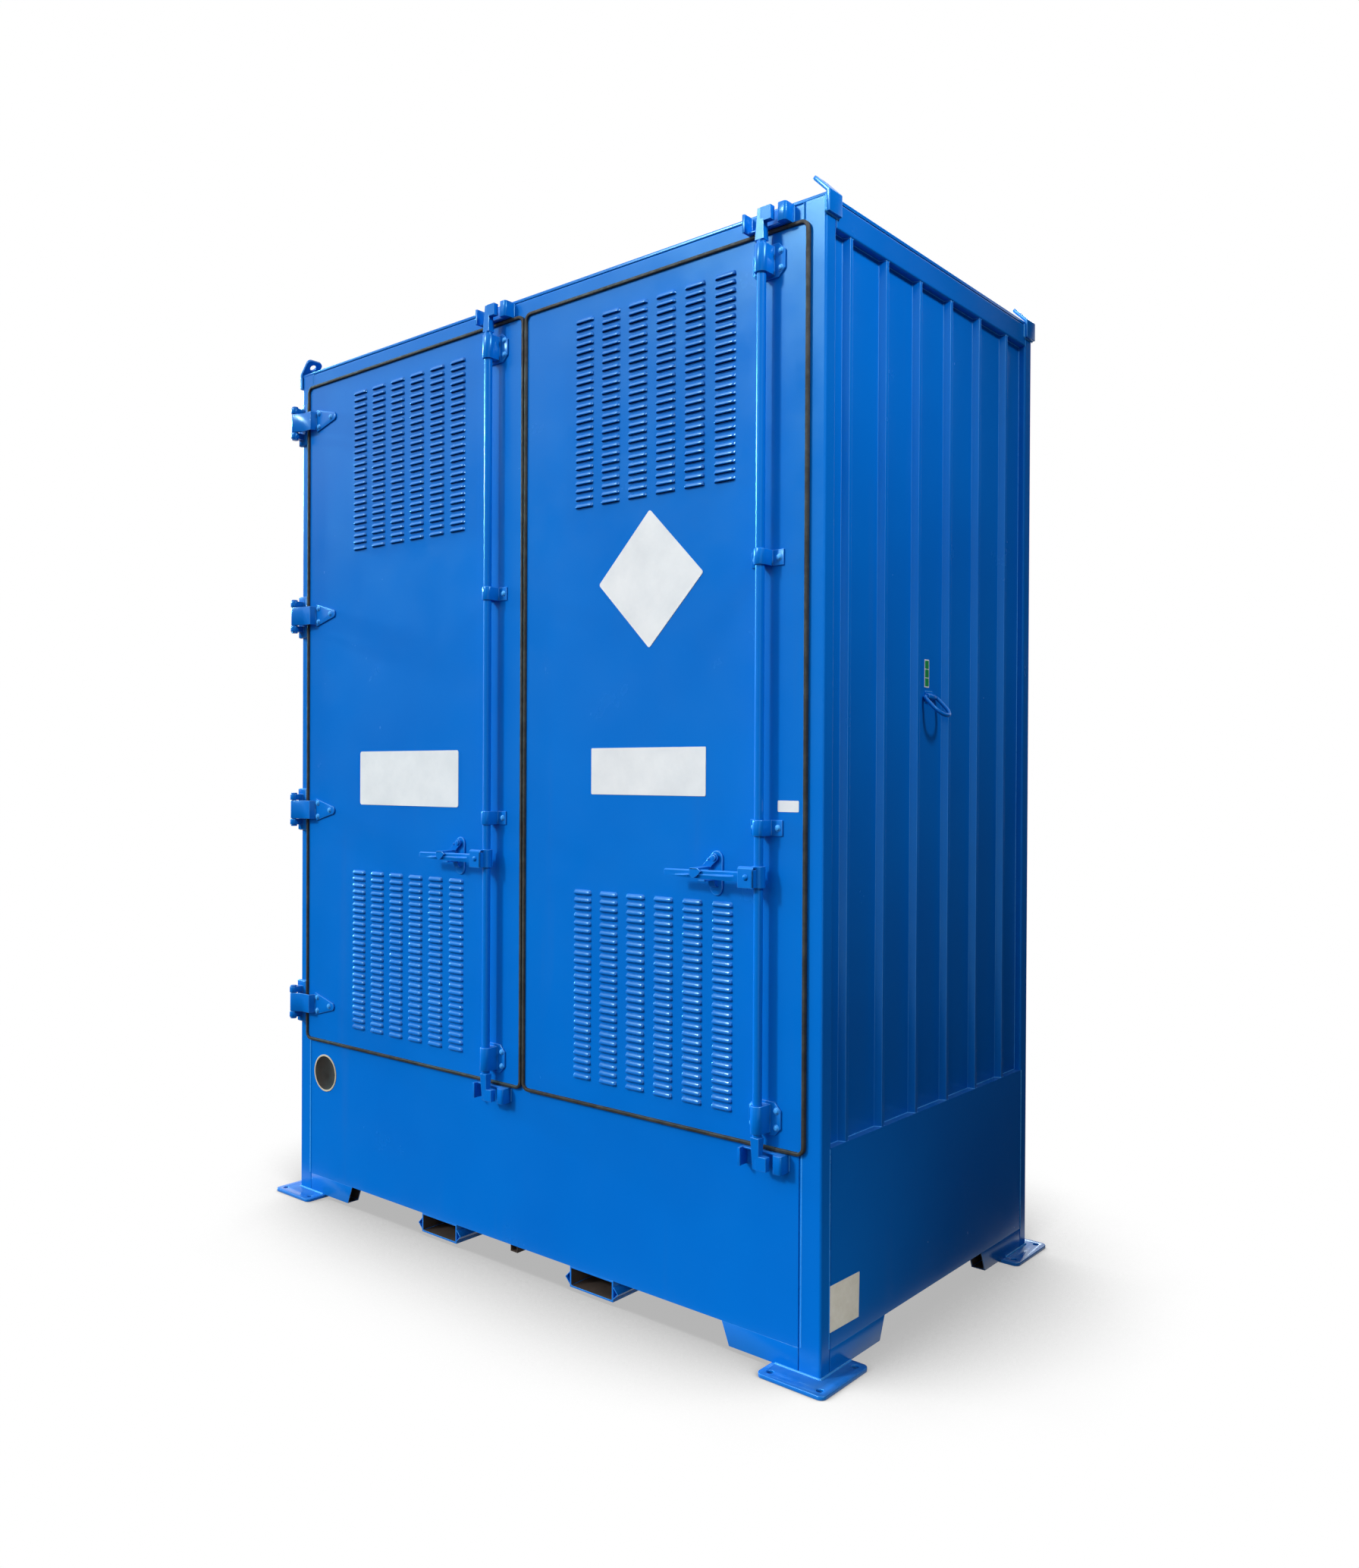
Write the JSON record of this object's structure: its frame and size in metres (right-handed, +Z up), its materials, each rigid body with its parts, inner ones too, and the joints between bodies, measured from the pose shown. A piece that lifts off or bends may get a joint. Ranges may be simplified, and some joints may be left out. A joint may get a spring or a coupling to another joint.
{
  "type": "corrosive substance store",
  "caption": "Outdoor steel store with a spill sump, two gratings, a folding pair of louvred gasketed doors with lock rods, fork pockets, lifting lugs and anchor plates.",
  "frame": {"origin": "centre of the four outer anchor holes, at floor level", "axes": "+Z up, +X to the viewer's right, the doors face -Y"},
  "size_m": [2.62, 1.4585, 3.3387],
  "materials": {
    "frame_paint": "gloss enamel",
    "base_paint": "gloss enamel",
    "roof_paint": "gloss enamel",
    "sump_paint": "gloss enamel",
    "wall_paint": "gloss enamel",
    "grating_zinc": "hot-dip zinc",
    "door_paint": "gloss enamel",
    "louvre_paint": "gloss enamel",
    "seal_rubber": "matt",
    "hinge_paint": "gloss enamel",
    "lock_paint": "gloss enamel",
    "pin_steel": "turned"
  },
  "bodies": {
    "store": {"posts_front": "frame_paint", "posts_rear": "frame_paint", "header": "frame_paint", "top_rails": "frame_paint", "roof_sheet": "roof_paint", "base_plates": "base_paint", "foot_stubs": "frame_paint", "lifting_lugs": "frame_paint", "fork_pockets": "base_paint", "pocket_angles": "base_paint", "centre_bearer": "base_paint", "sump_floor": "sump_paint", "sump_walls": "sump_paint", "sump_corners": "sump_paint", "sump_rim": "sump_paint", "floor_bearers": "frame_paint", "floor_grating": "grating_zinc", "deck_beams": "frame_paint", "deck_grating": "grating_zinc", "wall_left": "wall_paint", "wall_right": "wall_paint", "wall_rear": "wall_paint", "hinge_lugs": "frame_paint", "hinge_pins": "hinge_paint", "header_keepers": "frame_paint", "sill_keepers": "frame_paint", "ring_bracket": "frame_paint"},
    "ring": {"pull_ring": "frame_paint"},
    "leaf_left": {"leaf_left_skin": "door_paint", "leaf_left_frame": "frame_paint", "louvres_left_upper": "louvre_paint", "louvres_left_lower": "louvre_paint", "gasket_left": "seal_rubber", "fold_hinge_left": "frame_paint", "rod_bearings_left": "lock_paint", "rod_guides_left": "lock_paint", "lock_bolts_left": "lock_paint", "handle_keeper_left": "lock_paint", "hinge_straps": "hinge_paint", "strap_bolts": "hinge_paint", "fold_pins": "pin_steel"},
    "lock_left": {"lock_rod_left": "lock_paint", "handle_hub_left": "lock_paint"},
    "lift_left": {"handle_left": "lock_paint"},
    "catch_left": {"catch_left": "lock_paint"},
    "leaf_right": {"leaf_right_skin": "door_paint", "leaf_right_frame": "frame_paint", "louvres_right_upper": "louvre_paint", "louvres_right_lower": "louvre_paint", "gasket_right": "seal_rubber", "fold_hinge_right": "frame_paint", "rod_bearings_right": "lock_paint", "rod_guides_right": "lock_paint", "lock_bolts_right": "lock_paint", "handle_keeper_right": "lock_paint"},
    "lock_right": {"lock_rod_right": "lock_paint", "handle_hub_right": "lock_paint"},
    "lift_right": {"handle_right": "lock_paint"},
    "catch_right": {"catch_right": "lock_paint"}
  },
  "joints": [
    {"name": "door_swing", "type": "hinge", "parent": "store", "child": "leaf_left", "pos_m": [-1.24, -0.688, 0.642], "axis": [0, 0, -1], "range_deg": [0, 240]},
    {"name": "door_fold", "type": "hinge", "parent": "leaf_left", "child": "leaf_right", "pos_m": [0.056, -0.593, 0.642], "axis": [0, 0, 1], "range_deg": [0, 180]},
    {"name": "lock_turn_left", "type": "hinge", "parent": "leaf_left", "child": "lock_left", "pos_m": [-0.083, -0.691, 1.392], "axis": [0, 0, 1], "range_deg": [0, 110]},
    {"name": "handle_lift_left", "type": "hinge", "parent": "lock_left", "child": "lift_left", "pos_m": [-0.102, -0.7125, 1.392], "axis": [0, 1, 0], "range_deg": [0, 8]},
    {"name": "catch_turn_left", "type": "hinge", "parent": "leaf_left", "child": "catch_left", "pos_m": [-0.261, -0.7125, 1.437], "axis": [0, 1, 0], "range_deg": [0, 88]},
    {"name": "lock_turn_right", "type": "hinge", "parent": "leaf_right", "child": "lock_right", "pos_m": [1.063, -0.691, 1.392], "axis": [0, 0, 1], "range_deg": [0, 110]},
    {"name": "handle_lift_right", "type": "hinge", "parent": "lock_right", "child": "lift_right", "pos_m": [1.044, -0.7125, 1.392], "axis": [0, 1, 0], "range_deg": [0, 8]},
    {"name": "catch_turn_right", "type": "hinge", "parent": "leaf_right", "child": "catch_right", "pos_m": [0.885, -0.7125, 1.437], "axis": [0, 1, 0], "range_deg": [0, 88]},
    {"name": "ring_swing", "type": "hinge", "parent": "store", "child": "ring", "pos_m": [1.23208, -0.0145, 1.928], "axis": [0, -1, 0], "range_deg": [-44, 130]}
  ],
  "couplings": [
    {"joint": "door_fold", "follows": "door_swing", "ratio": 0.75},
    {"joint": "catch_turn_left", "follows": "handle_lift_left", "ratio": 11},
    {"joint": "catch_turn_right", "follows": "handle_lift_right", "ratio": 11}
  ]
}
